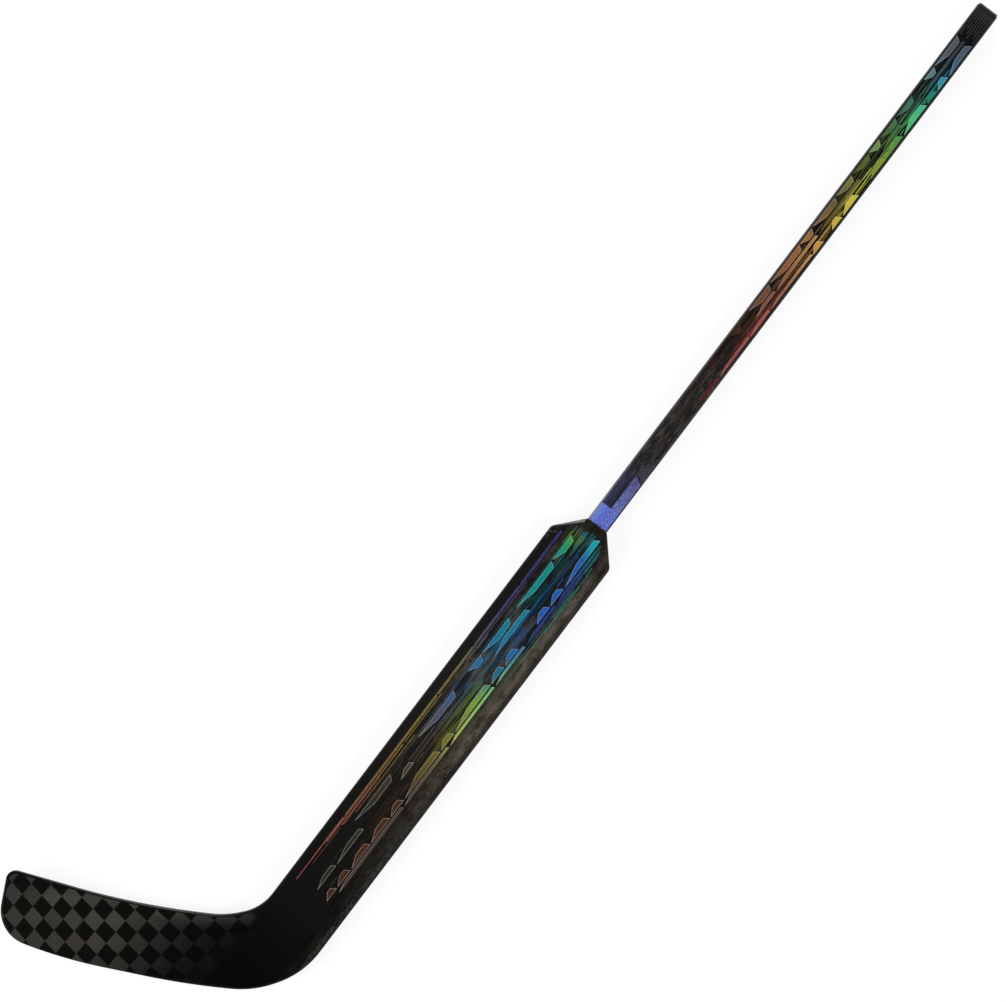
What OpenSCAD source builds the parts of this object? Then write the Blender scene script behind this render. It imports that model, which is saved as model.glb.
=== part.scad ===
// Ice hockey goalkeeper's stick, lying flat with its front face up.
//
// +X runs up the shaft towards the butt end, +Z is the front face's normal, and the
// blade reaches out towards +Y. The origin is on the paddle's flat back face, on the
// shaft's centre line, at the shoulder line where the paddle reaches its full width.
// A laminated shell of skins, rails and edge wraps is bonded over foam cores. A box
// spine takes the hollow shaft as a tenon, and the end plug pulls out of the shaft.

/* [Paddle] */
// Width of the paddle
paddle_w = 88.9; // [74:0.1:100]
// Thickness of the paddle
paddle_t = 24; // [23.5:0.1:29]
// Length from the shoulder line down to the heel corner
paddle_len = 661; // [540:1:800]
// Length of the sloping shoulders, from the shoulder line up to the neck
shoulder_len = 33; // [28:1:45]
// Radius of the shoulder corners
shoulder_r = 10; // [8:0.5:14]
// Width of the edge rails and edge wraps
rail_w = 6; // [5:0.1:7.2]
// Radius that rounds the outer edges of the rails and wraps
edge_r = 5; // [2:0.1:5]
// Thickness of the paddle's front and back skins
paddle_skin_t = 1.2; // [0.6:0.1:1.5]
// Thickness of the spine's side webs
web_t = 1.2; // [0.8:0.1:2.5]
// Length of the solid heel block, up the paddle from the heel corner
heel_block_len = 90; // [70:1:140]

/* [Blade] */
// Angle between the blade and the shaft
lie = 115.25; // [108:0.25:122]
// Length from the heel corner to the toe
blade_len = 355; // [295:1:430]
// Height of the blade at the toe
toe_h = 94; // [78:0.5:113]
// Height of the blade at its narrowest
waist_h = 82.5; // [70:0.5:99]
// Distance from the heel corner to the narrowest place
waist_u = 189; // [165:1:215]
// Distance from the heel corner to the seam where the blade's layup starts
seam_u = 104; // [96:1:125]
// Thickness of the blade at the toe
toe_t = 13; // [9:0.1:20]
// How far the toe curves forward of the paddle's mid-plane
curve_depth = 22; // [0:0.5:35]
// Thickness of the blade's front and back skins
blade_skin_t = 1; // [0.5:0.1:1.6]
// Thickness of the bridge rib between the two blade cores
bridge_t = 1.6; // [0.8:0.1:3]

/* [Blade outline] */
// Distance from the heel corner to the elbow's end on the top edge
elbow_u = 87; // [75:1:95]
// Height of the elbow's end above the narrowest place
elbow_rise = 9.4; // [6:0.1:12]
// Angle that the elbow still has to turn after its first bend
elbow_turn = 24; // [20:1:30]
// Radius of the elbow's first bend
elbow_r = 60; // [50:1:70]
// Radius of the elbow's second bend
elbow_end_r = 116; // [100:1:140]
// Radius of the hollow along the top edge
top_r = 950; // [700:10:1100]
// Radius of the toe's upper corner
toe_r = 12; // [8:0.5:25]
// Height of the toe's lower corner above the sole
toe_low = 14.5; // [10:0.5:20]
// Radius of the toe's lower corner
toe_low_r = 44; // [30:1:50]
// Distance from the toe to the sole's rise
rise_len = 88; // [70:1:100]
// Radius of the sole's rise to the toe
rise_r = 580; // [400:10:700]
// Distance from the heel corner to the sole's flat
flat_u = 119; // [105:1:130]
// Radius of the sole towards the heel
sole_r = 940; // [800:10:1100]
// Distance along the blade from the heel corner to the heel's bend
heel_u = 34; // [30:1:40]
// Height of the heel's bend above the sole
heel_low = 9.3; // [7:0.1:12]
// Radius of the heel's bend
heel_r = 126; // [100:1:140]
// Distance up the paddle from the heel corner to the end of its straight edge
heel_back = 48; // [40:1:60]
// Radius of the bend at the end of the straight edge
heel_back_r = 108; // [90:1:120]

/* [Shaft] */
// Length of the shaft from the neck to the open end of the tube
shaft_len = 783.7; // [600:0.1:940]
// Width of the shaft
shaft_w = 28.6; // [23.5:0.1:34.4]
// Thickness of the shaft
shaft_t = 20; // [16.5:0.1:20.4]
// Radius of the shaft's long corners
shaft_r = 3.2; // [2.6:0.1:5]
// Wall thickness of the shaft tube
tube_wall = 1.9; // [1.2:0.1:2.3]
// Length of the tenon that sits inside the paddle's spine
tenon_len = 120; // [60:1:180]
// How far the tenon's faces are stepped down from the shaft's
tenon_step = 0.5; // [0.2:0.05:0.6]
// Length of the adhesive bead round the shaft at the neck
bead_len = 1; // [1:0.1:4]
// Lip that the bead leaves bare at its foot, and its height at its top
bead_lip = 0.3; // [0.1:0.05:0.5]
// Gap left for adhesive, and the push fit of the end plug, on each side
bond = 0.1; // [0.05:0.01:0.12]

/* [End plug] */
// Thickness of the plug's flange
flange_t = 2.4; // [1.5:0.1:4]
// How far the flange stays inside the shaft's outline
flange_inset = 1.1; // [0.5:0.1:1.6]
// Length of the plug's spigot
spigot_len = 42; // [30:1:60]
// Wall of the hollow spigot
spigot_wall = 1.8; // [1.2:0.1:2.5]
// Bare length of the spigot before its first gripping fin
fin_start = 3; // [2:0.5:6]
// Height of the gripping fins on the spigot
fin_h = 0.9; // [0.5:0.1:1.2]
// Thickness of each gripping fin
fin_t = 1.6; // [0.8:0.1:2.5]
// Number of gripping fins
fin_count = 6; // [3:1:8]

/* [Decorative film] */
// Thickness of the printed film let into the faces
film_t = 0.2; // [0.1:0.01:0.3]
// Bare length between the neck and the paddle's film
film_top = 10; // [10:1:60]
// Length of the paddle's film
film_len = 553; // [300:1:553]
// Reach of the paddle's film towards the leading edge
film_lead = 33; // [20:0.5:33]
// Reach of the paddle's film towards the trailing edge
film_trail = 28; // [15:0.5:30]
// Bare length of the shaft left at each end of its film
film_end = 3; // [2:0.5:20]
// Bare margin between a film and the rounded edges beside it
film_margin = 0.3; // [0.1:0.1:2]

/* [Hidden] */

arc_steps = 8;      // segments in each rounded corner of the outline
round_steps = 4;    // segments in each quarter-round edge
blade_steps = 18;   // flat strips that make up the blade's curved faces
big = 500;          // longer than the blade, to cut it with
over = 1;           // how far a cut runs past what it cuts
straight = 2;       // shortest straight stretch left between two rounded corners

half_w = paddle_w / 2;
mid_z = paddle_t / 2;
tenon_w = shaft_w - 2 * tenon_step;
tenon_t = shaft_t - 2 * tenon_step;
spine_half_w = tenon_w / 2 + bond + web_t;
spine_bore_t = tenon_t + 2 * bond;
skin_gap = rail_w + bond;                     // where the skins and cores stop
neck_x = shoulder_len;
neck_half_w = spine_half_w + bond;
butt_x = neck_x + shaft_len;
spine_x = heel_block_len - paddle_len;        // lower end of the spine

// ---- Outline ------------------------------------------------------------------------

// A point given along the blade (u, from the heel corner) and up it (v, from the sole).
function blade_pt(u, v) = [
    -paddle_len + u * cos(lie) + v * sin(lie),
    -half_w + u * sin(lie) - v * cos(lie)
];

// How far along the blade a point of the outline lies.
function blade_u(p) = (p[0] + paddle_len) * cos(lie) + (p[1] + half_w) * sin(lie);

function heading(angle) = [cos(angle), sin(angle)];
function unit(v) = v / norm(v);
function left_of(v) = [-v[1], v[0]];

// Where two lines cross, each given by a point and a direction.
function crossing(p, d, q, e) =
    let (w = q - p, k = (w[0] * e[1] - w[1] * e[0]) / (d[0] * e[1] - d[1] * e[0]))
    p + k * d;

// Between the paddle's leading edge and the blade's top edge, the elbow turns twice.
elbow_end = blade_pt(elbow_u, waist_h + elbow_rise);
elbow_start = crossing(elbow_end, heading(lie + elbow_turn), [0, half_w], [1, 0]);

// Corners of the outline as [point, radius]: from the neck down the leading edge, round
// the toe, along the sole and back up the trailing edge to the neck.
corners = [
    [[neck_x, neck_half_w], 0],
    [[0, half_w], shoulder_r],
    [elbow_start, elbow_r],
    [elbow_end, elbow_end_r],
    [blade_pt(waist_u, waist_h), top_r],
    [blade_pt(blade_len, toe_h), toe_r],
    [blade_pt(blade_len, toe_low), toe_low_r],
    [blade_pt(blade_len - rise_len, 0), rise_r],
    [blade_pt(flat_u, 0), sole_r],
    [blade_pt(heel_u, heel_low), heel_r],
    [[heel_back - paddle_len, -half_w], heel_back_r],
    [[0, -half_w], shoulder_r],
    [[neck_x, -neck_half_w], 0]
];
toe_corner = 6;     // which of them is the toe's lower corner
last = len(corners) - 1;

// Directions into and out of each corner, along the neck's line at the two ends.
function into(i) = i == 0 ? [0, 1] : unit(corners[i][0] - corners[i - 1][0]);
function out_of(i) = i == last ? [0, 1] : unit(corners[i + 1][0] - corners[i][0]);
turns = [for (i = [0:last]) asin(into(i)[0] * out_of(i)[1] - into(i)[1] * out_of(i)[0])];

// Length that each rounded corner takes up on the two sides beside it, and the share of
// it that fits on the side before corner i. Two corners that are too close shrink alike.
tangents = [for (i = [0:last]) corners[i][1] * tan(abs(turns[i]) / 2)];
function fit(i) =
    i == 0 || i > last ? 1 :
    min(1, (norm(corners[i][0] - corners[i - 1][0]) - straight)
        / (tangents[i - 1] + tangents[i]));
radii = [for (i = [0:last]) corners[i][1] * min(fit(i), fit(i + 1))];

// Points of one corner of the outline, moved inwards by inset.
function corner_pts(i, inset) =
    let (
        here = corners[i][0],
        before = i == 0 ? here : here + inset * left_of(into(i)),
        after = i == last ? here : here + inset * left_of(out_of(i)),
        tip = crossing(before, into(i), after, out_of(i)),
        side = sign(turns[i]),
        r = radii[i] - side * inset,
        centre = tip + r * unit(out_of(i) - into(i)) / cos(turns[i] / 2),
        start = atan2(-into(i)[0] * side, into(i)[1] * side)
    )
    radii[i] == 0
        ? [tip]
        : [for (k = [0:arc_steps]) centre + r * heading(start + turns[i] * k / arc_steps)];

function outline(inset) = [for (i = [0:last]) each corner_pts(i, inset)];

// Places on the outline where the edge pieces meet, as indices of its points.
edge_line = outline(0);
edge_last = len(edge_line) - 1;
top_seam = [for (i = [0:edge_last]) if (blade_u(edge_line[i]) > seam_u) i][0];
sole_seam = [for (i = [edge_last:-1:0]) if (blade_u(edge_line[i]) > seam_u) i][0];
toe_seam = 1 + (toe_corner - 1) * (arc_steps + 1) + arc_steps / 2;

// ---- Thickness and curve of the blade -----------------------------------------------

function along(u) = max(0, min(1, (u - seam_u) / (blade_len - seam_u)));
function blade_t(u) = toe_t + (paddle_t - toe_t) * pow(1 - along(u), 2);
function blade_mid(u) = mid_z + curve_depth * pow(along(u), 2);
function back_z(u) = blade_mid(u) - blade_t(u) / 2;
function front_z(u) = blade_mid(u) + blade_t(u) / 2;

// ---- Shared shapes ------------------------------------------------------------------

// The outline inside the rails and wraps.
module inner_outline() {
    polygon(outline(skin_gap));
}

// Moves to the heel corner and turns X along the blade.
module at_blade() {
    translate([-paddle_len, -half_w]) rotate(lie) children();
}

// The plane from u along the blade, or back from there.
module past(u) {
    at_blade() translate([u, -big]) square([big, 2 * big]);
}
module before(u) {
    at_blade() translate([u - 3 * big, -3 * big]) square([3 * big, 6 * big]);
}

// A curved layer of the blade between two heights, each a function of u.
module blade_layer(low, high) {
    us = [for (k = [0:blade_steps]) seam_u + k * (blade_len + over - seam_u) / blade_steps];
    intersection() {
        linear_extrude(big) intersection() {
            inner_outline();
            past(seam_u);
        }
        translate([-paddle_len, -half_w, 0]) rotate([90, 0, lie])
            translate([0, 0, -big]) linear_extrude(2 * big)
                polygon([
                    for (u = us) [u, low(u)],
                    for (k = [blade_steps:-1:0]) [us[k], high(us[k])]
                ]);
    }
}

// Section of a rail or wrap as [inset, share of the height], rounded at its outer side.
edge_section = [
    for (k = [0:round_steps]) let (a = 90 * k / round_steps)
        [edge_r * (1 - sin(a)), edge_r * (1 - cos(a)) / paddle_t],
    for (k = [0:round_steps]) let (a = 90 * k / round_steps)
        [edge_r * (1 - cos(a)), 1 - edge_r * (1 - sin(a)) / paddle_t],
    [rail_w, 1],
    [rail_w, 0]
];

// The edge section swept along the outline, from its point `first` to its point `last`.
module edge_sweep(first, last) {
    n = len(edge_section);
    steps = last - first;
    loops = [for (s = edge_section) outline(s[0])];
    points = [
        for (i = [first:last], j = [0:n - 1])
            let (p = loops[j][i], u = i < top_seam || i > sole_seam ? 0 : blade_u(p))
            [p[0], p[1], back_z(u) + edge_section[j][1] * blade_t(u)]
    ];
    sides = [
        for (i = [0:steps - 1], j = [0:n - 1])
            let (k = (j + 1) % n) each [
                [i * n + j, i * n + k, (i + 1) * n + k],
                [i * n + j, (i + 1) * n + k, (i + 1) * n + j]
            ]
    ];
    start_cap = [for (j = [n - 1:-1:0]) j];
    end_cap = [for (j = [0:n - 1]) steps * n + j];
    polyhedron(points, concat([start_cap], sides, [end_cap]), convexity = 6);
}

// A rectangle with rounded corners.
module rounded_rect(w, t, r) {
    square([w - 2 * r, t], center = true);
    square([w, t - 2 * r], center = true);
    for (sx = [-1, 1], sy = [-1, 1])
        translate([sx * (w / 2 - r), sy * (t / 2 - r)]) circle(r, $fn = 32);
}

// Stands a section across the shaft's axis, at x.
module across(x) {
    translate([x, 0, mid_z]) rotate([90, 0, 90]) children();
}

// A bar along the shaft's axis with rounded long corners.
module rounded_bar(x, length, w, t, r) {
    across(x) linear_extrude(length) rounded_rect(w, t, r);
}

// A box on the shaft's axis, centred in width and in the paddle's thickness.
module centred_box(x_low, x_high, w, t) {
    translate([x_low, -w / 2, mid_z - t / 2]) cube([x_high - x_low, w, t]);
}

// ---- Shaft --------------------------------------------------------------------------

module shaft_tube() color([0.07, 0.07, 0.07]) difference() {
    union() {
        rounded_bar(neck_x, shaft_len, shaft_w, shaft_t, shaft_r);
        rounded_bar(neck_x - tenon_len, tenon_len, tenon_w, tenon_t, shaft_r - tenon_step);
    }
    rounded_bar(neck_x - tenon_len - over, tenon_len + shaft_len + 2 * over,
        shaft_w - 2 * tube_wall, shaft_t - 2 * tube_wall, shaft_r - tube_wall);
    shaft_film(mid_z + shaft_t / 2 - film_t);
    shaft_film(mid_z - shaft_t / 2);
}

module shaft_film(z) {
    half = shaft_w / 2 - shaft_r - film_margin;
    start_x = neck_x + bead_len + film_end;
    translate([start_x, -half, z]) cube([butt_x - film_end - start_x, 2 * half, film_t]);
}
module shaft_front_film() color([0.35, 0.45, 0.2]) shaft_film(mid_z + shaft_t / 2 - film_t);
module shaft_back_film() color([0.35, 0.45, 0.2]) shaft_film(mid_z - shaft_t / 2);

module end_plug() color([0.03, 0.03, 0.03]) {
    bore_w = shaft_w - 2 * (tube_wall + bond);
    bore_t = shaft_t - 2 * (tube_wall + bond);
    bore_r = shaft_r - tube_wall;
    body_w = bore_w - 2 * fin_h;
    body_t = bore_t - 2 * fin_h;
    fin_pitch = (spigot_len - fin_start) / fin_count;
    rounded_bar(butt_x, flange_t, shaft_w - 2 * flange_inset, shaft_t - 2 * flange_inset,
        shaft_r - flange_inset);
    difference() {
        union() {
            rounded_bar(butt_x - spigot_len, spigot_len, body_w, body_t, bore_r);
            for (k = [0:fin_count - 1])
                rounded_bar(butt_x - fin_start - fin_t - k * fin_pitch, fin_t,
                    bore_w, bore_t, bore_r);
        }
        rounded_bar(butt_x - spigot_len - over, spigot_len,
            body_w - 2 * spigot_wall, body_t - 2 * spigot_wall, bore_r / 2);
    }
}

// Fillet of adhesive that tapers from the neck's end face onto the shaft.
module neck_bead() color([0.02, 0.02, 0.02]) difference() {
    foot = [2 * (spine_half_w - bead_lip), paddle_t - 2 * bead_lip];
    top = [shaft_w + 2 * bead_lip, shaft_t + 2 * bead_lip];
    across(neck_x) linear_extrude(bead_len, scale = [top[0] / foot[0], top[1] / foot[1]])
        square(foot, center = true);
    rounded_bar(neck_x - over, bead_len + 2 * over, shaft_w, shaft_t, shaft_r);
}

// ---- Paddle -------------------------------------------------------------------------

module paddle_spine() color([0.12, 0.12, 0.12]) difference() {
    centred_box(spine_x, neck_x, 2 * spine_half_w, paddle_t - 2 * paddle_skin_t);
    centred_box(spine_x - over, neck_x + over, tenon_w + 2 * bond, spine_bore_t);
}

module paddle_core_centre() color([0.85, 0.8, 0.65])
    centred_box(spine_x, neck_x - tenon_len, tenon_w + 2 * bond, spine_bore_t);

// Foam beside the spine, on the leading side (1) or the trailing side (-1).
module paddle_core(side) {
    translate([0, 0, paddle_skin_t]) linear_extrude(paddle_t - 2 * paddle_skin_t)
        intersection() {
            inner_outline();
            translate([spine_x, side > 0 ? spine_half_w : -spine_half_w - big])
                square([paddle_len, big]);
        }
}
module paddle_core_leading() color([0.87, 0.82, 0.67]) paddle_core(1);
module paddle_core_trailing() color([0.87, 0.82, 0.67]) paddle_core(-1);

module heel_block() color([0.6, 0.55, 0.42])
    translate([0, 0, paddle_skin_t]) linear_extrude(paddle_t - 2 * paddle_skin_t)
        intersection() {
            inner_outline();
            before(seam_u);
            translate([spine_x - big, -big]) square([big, 2 * big]);
        }

// A skin from z up, with a shallow bed for the film at bed_z.
module paddle_skin(z, bed_z) difference() {
    translate([0, 0, z]) linear_extrude(paddle_skin_t) {
        intersection() {
            inner_outline();
            before(seam_u);
        }
        translate([spine_x, -spine_half_w]) square([neck_x - spine_x, 2 * spine_half_w]);
    }
    paddle_film(bed_z);
}
module paddle_front_skin() color([0.08, 0.08, 0.08])
    paddle_skin(paddle_t - paddle_skin_t, paddle_t - film_t);
module paddle_back_skin() color([0.08, 0.08, 0.08]) paddle_skin(0, 0);

module paddle_film(z) {
    translate([0, 0, z]) linear_extrude(film_t) intersection() {
        polygon(outline(skin_gap + film_margin));
        translate([neck_x - film_top - film_len, -film_trail])
            square([film_len, film_lead + film_trail]);
    }
}
module paddle_front_film() color([0.1, 0.5, 0.55]) paddle_film(paddle_t - film_t);
module paddle_back_film() color([0.1, 0.5, 0.55]) paddle_film(0);

// Room for the spine and the skins over it, where the rails feather out at the neck.
module spine_slot()
    centred_box(spine_x, neck_x + over, 2 * neck_half_w, paddle_t + 2 * over);

module paddle_leading_rail() color([0.05, 0.05, 0.05]) difference() {
    edge_sweep(0, top_seam);
    spine_slot();
}
module paddle_trailing_rail() color([0.2, 0.18, 0.16]) difference() {
    edge_sweep(sole_seam, edge_last);
    spine_slot();
}

// ---- Blade --------------------------------------------------------------------------

front_core_z = function (u) front_z(u) - blade_skin_t;
back_core_z = function (u) back_z(u) + blade_skin_t;
module blade_front_skin() color([0.25, 0.24, 0.22])
    blade_layer(front_core_z, function (u) front_z(u));
module blade_back_skin() color([0.25, 0.24, 0.22])
    blade_layer(function (u) back_z(u), back_core_z);

// The blade's filling between two heights above the sole.
module blade_filling(low_v, high_v) intersection() {
    blade_layer(back_core_z, front_core_z);
    linear_extrude(big) at_blade()
        translate([seam_u, -high_v]) square([blade_len, high_v - low_v]);
}
bridge_low = (waist_h - bridge_t) / 2;
bridge_high = (waist_h + bridge_t) / 2;
module blade_core_upper() color([0.87, 0.82, 0.67]) blade_filling(bridge_high, big);
module blade_core_lower() color([0.87, 0.82, 0.67]) blade_filling(-big, bridge_low);
module blade_bridge() color([0.12, 0.12, 0.12]) blade_filling(bridge_low, bridge_high);

module blade_top_wrap() color([0.05, 0.05, 0.05]) edge_sweep(top_seam, toe_seam);
module blade_sole_wrap() color([0.04, 0.04, 0.04]) edge_sweep(toe_seam, sole_seam);

shaft_tube();
end_plug();
neck_bead();
shaft_front_film();
shaft_back_film();
paddle_spine();
paddle_core_centre();
paddle_core_leading();
paddle_core_trailing();
paddle_front_skin();
paddle_back_skin();
paddle_leading_rail();
paddle_trailing_rail();
paddle_front_film();
paddle_back_film();
heel_block();
blade_core_upper();
blade_core_lower();
blade_bridge();
blade_front_skin();
blade_back_skin();
blade_top_wrap();
blade_sole_wrap();
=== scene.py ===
"""Looks of an ice hockey goalkeeper's stick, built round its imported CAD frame.

Lengths are in metres, in the CAD frame: +X runs up the shaft, +Y is the side that the
blade reaches out to and +Z is the front face's normal.
"""
import random
from math import asin, atan2, ceil, copysign, cos, pi, radians, sin, sqrt

import bmesh
import bpy
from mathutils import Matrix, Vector
from mathutils.geometry import tessellate_polygon


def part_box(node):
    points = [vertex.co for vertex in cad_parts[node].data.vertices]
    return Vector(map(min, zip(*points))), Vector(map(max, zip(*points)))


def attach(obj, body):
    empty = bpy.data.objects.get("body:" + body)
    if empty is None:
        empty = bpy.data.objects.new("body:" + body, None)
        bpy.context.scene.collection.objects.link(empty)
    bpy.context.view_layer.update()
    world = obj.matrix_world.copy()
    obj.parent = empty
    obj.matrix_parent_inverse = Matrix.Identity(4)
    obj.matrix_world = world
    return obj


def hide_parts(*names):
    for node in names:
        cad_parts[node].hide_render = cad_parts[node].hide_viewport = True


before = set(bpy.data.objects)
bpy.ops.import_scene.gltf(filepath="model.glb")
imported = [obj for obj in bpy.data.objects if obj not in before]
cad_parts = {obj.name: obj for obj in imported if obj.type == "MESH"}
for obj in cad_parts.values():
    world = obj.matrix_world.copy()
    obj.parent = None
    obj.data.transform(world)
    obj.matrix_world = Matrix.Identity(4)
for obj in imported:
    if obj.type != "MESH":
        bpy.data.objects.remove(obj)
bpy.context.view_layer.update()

MM = 0.001

# ---- Sizes that the frame gives

TUBE_LOW, TUBE_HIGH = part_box("shaft_tube")
SKIN_LOW, SKIN_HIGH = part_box("paddle_front_skin")
PLUG_LOW, PLUG_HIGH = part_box("end_plug")
BEAD_LOW, BEAD_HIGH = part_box("neck_bead")
PADDLE_FILM_LOW, PADDLE_FILM_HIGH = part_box("paddle_front_film")
SHAFT_FILM_LOW, SHAFT_FILM_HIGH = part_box("shaft_front_film")

HALF_W = -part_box("paddle_trailing_rail")[0].y
PADDLE_T = SKIN_HIGH.z
MID_Z = PADDLE_T / 2
SKIN_T = SKIN_HIGH.z - SKIN_LOW.z
NECK_X = SKIN_HIGH.x
NECK_HALF_W = 15.2 * MM     # half the width of the paddle's end at the neck
TENON_X = TUBE_LOW.x
BUTT_X = TUBE_HIGH.x
SHAFT_W = TUBE_HIGH.y - TUBE_LOW.y
SHAFT_T = TUBE_HIGH.z - TUBE_LOW.z
BEAD_X = BEAD_HIGH.x
FILM_T = PADDLE_FILM_HIGH.z - PADDLE_FILM_LOW.z

# ---- Sizes that repeat the CAD model's

PADDLE_LEN = 661 * MM       # from the shoulder line down to the heel corner
SHOULDER_R = 10 * MM
RAIL_W = 6 * MM             # width of the rails and wraps round the outline
EDGE_R = 5 * MM             # radius of their outer edges
LIE = radians(115.25)       # angle between the blade and the shaft
BLADE_LEN = 355 * MM
TOE_H = 94 * MM
WAIST_H = 82.5 * MM
WAIST_U = 189 * MM
SEAM_U = 104 * MM
TOE_T = 13 * MM
CURVE_DEPTH = 22 * MM
BLADE_SKIN_T = 1 * MM
ELBOW_U = 87 * MM
ELBOW_RISE = 9.4 * MM
ELBOW_TURN = radians(24)
ELBOW_R = 60 * MM
ELBOW_END_R = 116 * MM
TOP_R = 950 * MM
TOE_R = 12 * MM
TOE_LOW = 14.5 * MM
TOE_LOW_R = 44 * MM
RISE_LEN = 88 * MM
RISE_R = 580 * MM
FLAT_U = 119 * MM
SOLE_R = 940 * MM
HEEL_U = 34 * MM
HEEL_LOW = 9.3 * MM
HEEL_R = 126 * MM
HEEL_BACK = 48 * MM
HEEL_BACK_R = 108 * MM
SHAFT_R = 3.2 * MM
TUBE_WALL = 1.9 * MM
TENON_STEP = 0.5 * MM
BOND = 0.1 * MM
FIN_START = 3 * MM
FIN_H = 0.9 * MM
FIN_T = 1.6 * MM
FIN_COUNT = 6
SPIGOT_WALL = 1.8 * MM
PLUG_FLOOR = 1 * MM         # depth of solid rubber behind the flange

# ---- Outline


def blade_point(u, v):
    """A point given along the blade from the heel corner, and up it from the sole."""
    return Vector((
        -PADDLE_LEN + u * cos(LIE) + v * sin(LIE),
        -HALF_W + u * sin(LIE) - v * cos(LIE),
    ))


def blade_u(p):
    return (p[0] + PADDLE_LEN) * cos(LIE) + (p[1] + HALF_W) * sin(LIE)


def blade_v(p):
    return (p[0] + PADDLE_LEN) * sin(LIE) - (p[1] + HALF_W) * cos(LIE)


def heading(angle):
    return Vector((cos(angle), sin(angle)))


def left_of(v):
    return Vector((-v[1], v[0]))


def crossing(p, d, q, e):
    """Where two lines cross, each given by a point and a direction."""
    w = q - p
    return p + d * ((w[0] * e[1] - w[1] * e[0]) / (d[0] * e[1] - d[1] * e[0]))


ELBOW_END = blade_point(ELBOW_U, WAIST_H + ELBOW_RISE)
ELBOW_START = crossing(ELBOW_END, heading(LIE + ELBOW_TURN), Vector((0, HALF_W)), Vector((1, 0)))
CORNERS = [
    (Vector((NECK_X, NECK_HALF_W)), 0),
    (Vector((0, HALF_W)), SHOULDER_R),
    (ELBOW_START, ELBOW_R),
    (ELBOW_END, ELBOW_END_R),
    (blade_point(WAIST_U, WAIST_H), TOP_R),
    (blade_point(BLADE_LEN, TOE_H), TOE_R),
    (blade_point(BLADE_LEN, TOE_LOW), TOE_LOW_R),
    (blade_point(BLADE_LEN - RISE_LEN, 0), RISE_R),
    (blade_point(FLAT_U, 0), SOLE_R),
    (blade_point(HEEL_U, HEEL_LOW), HEEL_R),
    (Vector((HEEL_BACK - PADDLE_LEN, -HALF_W)), HEEL_BACK_R),
    (Vector((0, -HALF_W)), SHOULDER_R),
    (Vector((NECK_X, -NECK_HALF_W)), 0),
]
TOE_CORNER = 6
LAST = len(CORNERS) - 1
ARC_SAG = 0.004 * MM        # how far a rounded corner's chords may stray from its arc
LONGEST_STEP = 5 * MM       # longest chord along the outline


def direction(i):
    """Direction of the outline's side after corner i; -1 is the way into the first one."""
    if 0 <= i < LAST:
        return (CORNERS[i + 1][0] - CORNERS[i][0]).normalized()
    return Vector((copysign(1, i), 0))


def corner_points(i, inset):
    """Points of one corner of the outline, moved inwards by inset."""
    here, radius = CORNERS[i]
    enter, leave = direction(i - 1), direction(i)
    before = here if i == 0 else here + left_of(enter) * inset
    after = here if i == LAST else here + left_of(leave) * inset
    tip = crossing(before, enter, after, leave)
    if not radius:
        return [tip]
    turn = asin(enter[0] * leave[1] - enter[1] * leave[0])
    side = copysign(1, turn)
    steps = max(4, ceil(abs(turn) / sqrt(8 * ARC_SAG / radius)))
    r = radius - side * inset
    centre = tip + (leave - enter).normalized() * (r / cos(turn / 2))
    start = atan2(-enter[0] * side, enter[1] * side)
    return [centre + heading(start + turn * k / steps) * r for k in range(steps + 1)]


def outlines(*insets):
    """The outline moved inwards by each inset, with matching points."""
    base, *loops = (
        [p for i in range(LAST + 1) for p in corner_points(i, inset)] for inset in (0, *insets)
    )
    counts = [ceil((b - a).length / LONGEST_STEP) or 1 for a, b in zip(base, base[1:])]
    return [
        [a.lerp(b, k / n) for a, b, n in zip(loop, loop[1:], counts) for k in range(n)]
        + [loop[-1]] for loop in loops
    ]


def blade_ends(line):
    """The first and the last point of an outline that lie on the blade."""
    beyond = [i for i, p in enumerate(line) if blade_u(p) > SEAM_U]
    return beyond[0], beyond[-1]


EDGE_LINE, INNER_LINE = outlines(0, RAIL_W)
TOP_SEAM, SOLE_SEAM = blade_ends(EDGE_LINE)
toe_arc = corner_points(TOE_CORNER, 0)
toe_middle = toe_arc[len(toe_arc) // 2]
TOE_SEAM = min(range(len(EDGE_LINE)), key=lambda i: (EDGE_LINE[i] - toe_middle).length)

# ---- Thickness and curve of the blade


def along_blade(u):
    return max(0.0, min(1.0, (u - SEAM_U) / (BLADE_LEN - SEAM_U)))


def blade_heights(u):
    """Heights of the blade's back and front faces."""
    thickness = TOE_T + (PADDLE_T - TOE_T) * (1 - along_blade(u)) ** 2
    middle = MID_Z + CURVE_DEPTH * along_blade(u) ** 2
    return middle - thickness / 2, middle + thickness / 2


# ---- Mesh helpers

SHARP_ANGLE = radians(35)


def link_object(name, data):
    made = bpy.data.objects.new(name, data)
    bpy.context.scene.collection.objects.link(made)
    return made


def make_piece(name, bm, material, stands_for=(), body="stick"):
    """A mesh piece on a CAD body, closed, smooth and with its sharp edges marked."""
    bmesh.ops.remove_doubles(bm, verts=bm.verts, dist=0.0005 * MM)
    bmesh.ops.recalc_face_normals(bm, faces=bm.faces)
    mesh = bpy.data.meshes.new(name)
    bm.to_mesh(mesh)
    bm.free()
    mesh.shade_smooth()
    mesh.set_sharp_from_angle(angle=SHARP_ANGLE)
    mesh.materials.append(material)
    piece = link_object(name, mesh)
    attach(piece, body)
    if stands_for:
        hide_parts(*stands_for)


def add_loop(bm, points):
    return [bm.verts.new(p) for p in points]


def mark_inside(bm):
    """Stores that a face lies inside the outline's rails and wraps."""
    depth = bm.verts.layers.float.new("inset")
    for vert in bm.verts:
        vert[depth] = 2 * RAIL_W


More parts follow.
